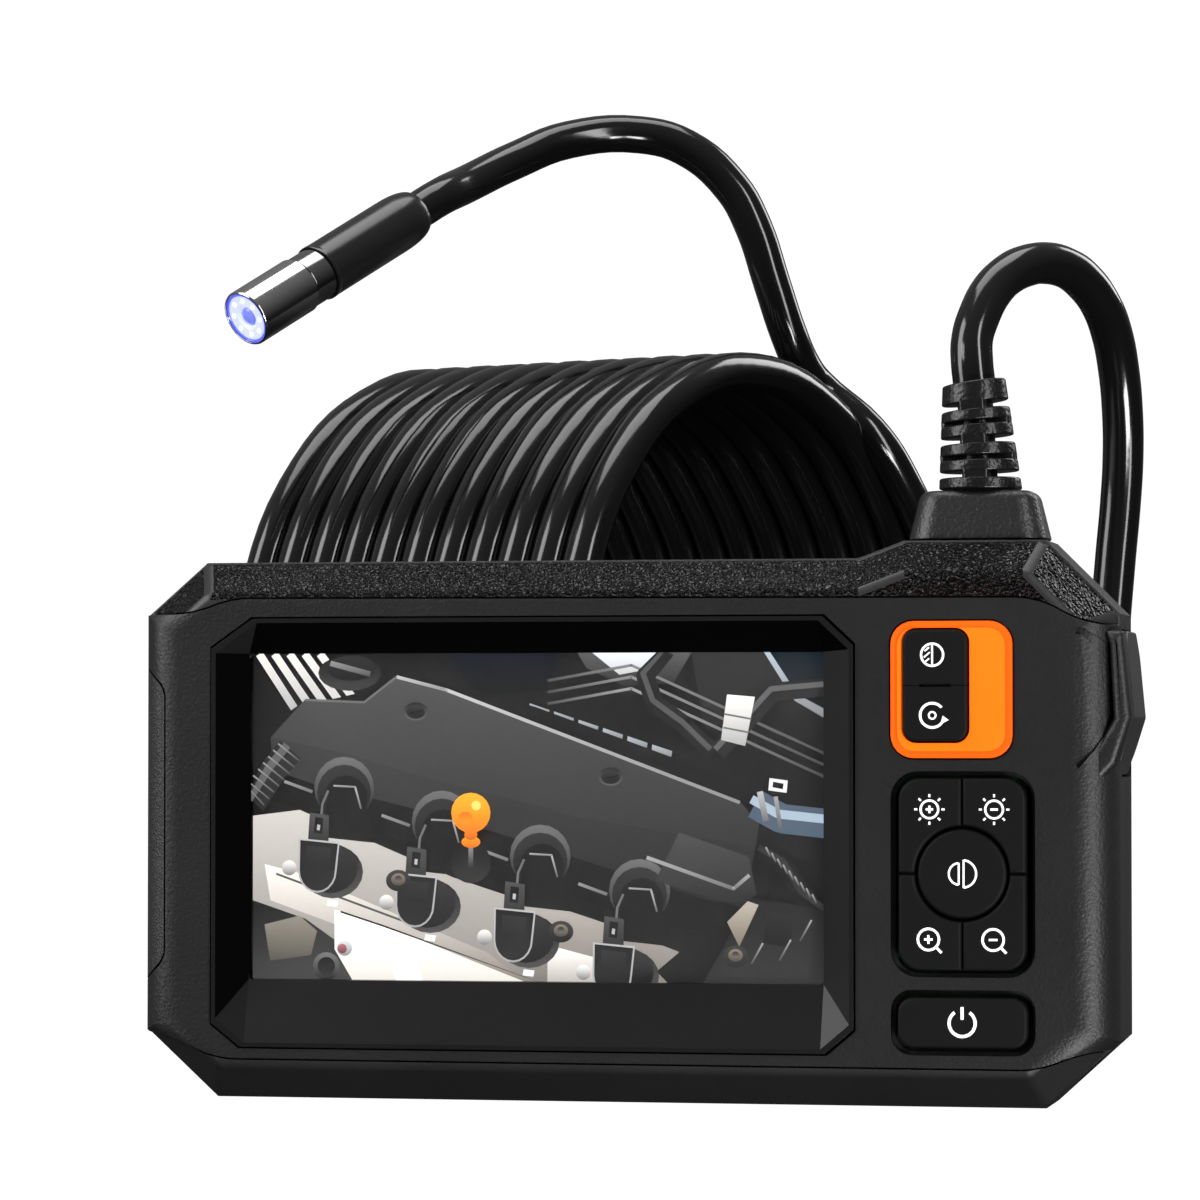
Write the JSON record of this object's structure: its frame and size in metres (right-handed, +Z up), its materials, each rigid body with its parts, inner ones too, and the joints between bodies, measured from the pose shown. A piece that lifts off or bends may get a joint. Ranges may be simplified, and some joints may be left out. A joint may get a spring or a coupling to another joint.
{
  "type": "inspection camera",
  "caption": "Handheld inspection camera: flat screen unit with key pads, rubber bumpers and a coiled semi-rigid cable ending in a lit camera probe.",
  "frame": {"origin": "centre of the flat bottom face that the screen unit stands on", "axes": "+X to the right of the screen as its viewer sees it, +Y from the screen towards its back, +Z up"},
  "size_m": [0.1748, 0.1923, 0.175],
  "materials": {
    "housing_plastic": "fine spark-eroded grain, satin",
    "bumper_rubber": "moulded rubber with a leather-like grain on its sloping faces",
    "gloss_trim": "polished black",
    "orange_trim": "satin orange",
    "key_rubber": "smooth silicone with white printed symbols",
    "boot_rubber": "satin moulded rubber",
    "cable_jacket": "smooth glossy jacket",
    "probe_metal": "polished black-plated metal",
    "probe_shell": "glossy moulded sleeve",
    "display_glass": "clear cover lens",
    "lens_glass": "clear",
    "display_module": null,
    "seal_foam": "foam and silicone seals",
    "circuit_board": "solder mask",
    "battery_wrap": "shrink wrap",
    "connector_plastic": "natural nylon",
    "screw_steel": "zinc-plated",
    "socket_steel": "stamped",
    "led_emitter": "white lamps"
  },
  "bodies": {
    "screen_unit": {"front_housing": "housing_plastic", "rear_housing": "housing_plastic", "top_bumper": "bumper_rubber", "bottom_bumper": "bumper_rubber", "left_grip_pad": "bumper_rubber", "usb_socket": "socket_steel", "card_slot": "socket_steel", "screen_bezel": "gloss_trim", "display_window": "display_glass", "display_gasket": "seal_foam", "display_panel": "display_module", "key_frame": "orange_trim", "key_gasket": "seal_foam", "key_board": "circuit_board", "main_board": "circuit_board", "battery_pack": "battery_wrap", "battery_connector": "connector_plastic", "lead_connector": "connector_plastic", "case_screw_1": "screw_steel", "case_screw_2": "screw_steel", "case_screw_3": "screw_steel", "case_screw_4": "screw_steel", "board_screw_1": "screw_steel", "board_screw_2": "screw_steel", "board_screw_3": "screw_steel", "boot_base": "boot_rubber", "cable_clamp": "connector_plastic", "strain_relief": "boot_rubber", "cable_coil": "cable_jacket", "cable_lead": "cable_jacket", "cable_tail": "cable_jacket", "probe_cap": "probe_metal", "probe_neck": "probe_metal", "probe_sleeve": "probe_shell", "probe_window": "lens_glass", "led_board": "circuit_board", "lens_barrel": "screw_steel", "lens": "lens_glass", "image_sensor": "circuit_board", "led_1": "led_emitter", "led_2": "led_emitter", "led_3": "led_emitter", "led_4": "led_emitter", "led_5": "led_emitter", "led_6": "led_emitter", "led_7": "led_emitter", "led_8": "led_emitter"},
    "light_up_key": {"light_up_key": "key_rubber"},
    "light_down_key": {"light_down_key": "key_rubber"},
    "zoom_in_key": {"zoom_in_key": "key_rubber"},
    "zoom_out_key": {"zoom_out_key": "key_rubber"},
    "mirror_key": {"mirror_key": "key_rubber"},
    "contrast_key": {"contrast_key": "key_rubber"},
    "rotate_key": {"rotate_key": "key_rubber"},
    "power_key": {"power_key": "key_rubber"},
    "port_cover": {"port_cover": "bumper_rubber"}
  },
  "joints": [
    {"name": "light_up_press", "type": "slide", "parent": "screen_unit", "child": "light_up_key", "axis": [0, 1, 0], "range_m": [0, 0.0006], "stiffness_N_per_m": 2000},
    {"name": "light_down_press", "type": "slide", "parent": "screen_unit", "child": "light_down_key", "axis": [0, 1, 0], "range_m": [0, 0.0006], "stiffness_N_per_m": 2000},
    {"name": "zoom_in_press", "type": "slide", "parent": "screen_unit", "child": "zoom_in_key", "axis": [0, 1, 0], "range_m": [0, 0.0006], "stiffness_N_per_m": 2000},
    {"name": "zoom_out_press", "type": "slide", "parent": "screen_unit", "child": "zoom_out_key", "axis": [0, 1, 0], "range_m": [0, 0.0006], "stiffness_N_per_m": 2000},
    {"name": "mirror_press", "type": "slide", "parent": "screen_unit", "child": "mirror_key", "axis": [0, 1, 0], "range_m": [0, 0.0006], "stiffness_N_per_m": 2000},
    {"name": "contrast_press", "type": "slide", "parent": "screen_unit", "child": "contrast_key", "axis": [0, 1, 0], "range_m": [0, 0.0006], "stiffness_N_per_m": 2000},
    {"name": "rotate_press", "type": "slide", "parent": "screen_unit", "child": "rotate_key", "axis": [0, 1, 0], "range_m": [0, 0.0006], "stiffness_N_per_m": 2000},
    {"name": "power_press", "type": "slide", "parent": "screen_unit", "child": "power_key", "axis": [0, 1, 0], "range_m": [0, 0.0006], "stiffness_N_per_m": 2000},
    {"name": "port_cover_hinge", "type": "hinge", "parent": "screen_unit", "child": "port_cover", "pos_m": [0.0805, 0.0118, 0.065], "axis": [0, 0, 1], "range_deg": [0, 95]}
  ]
}
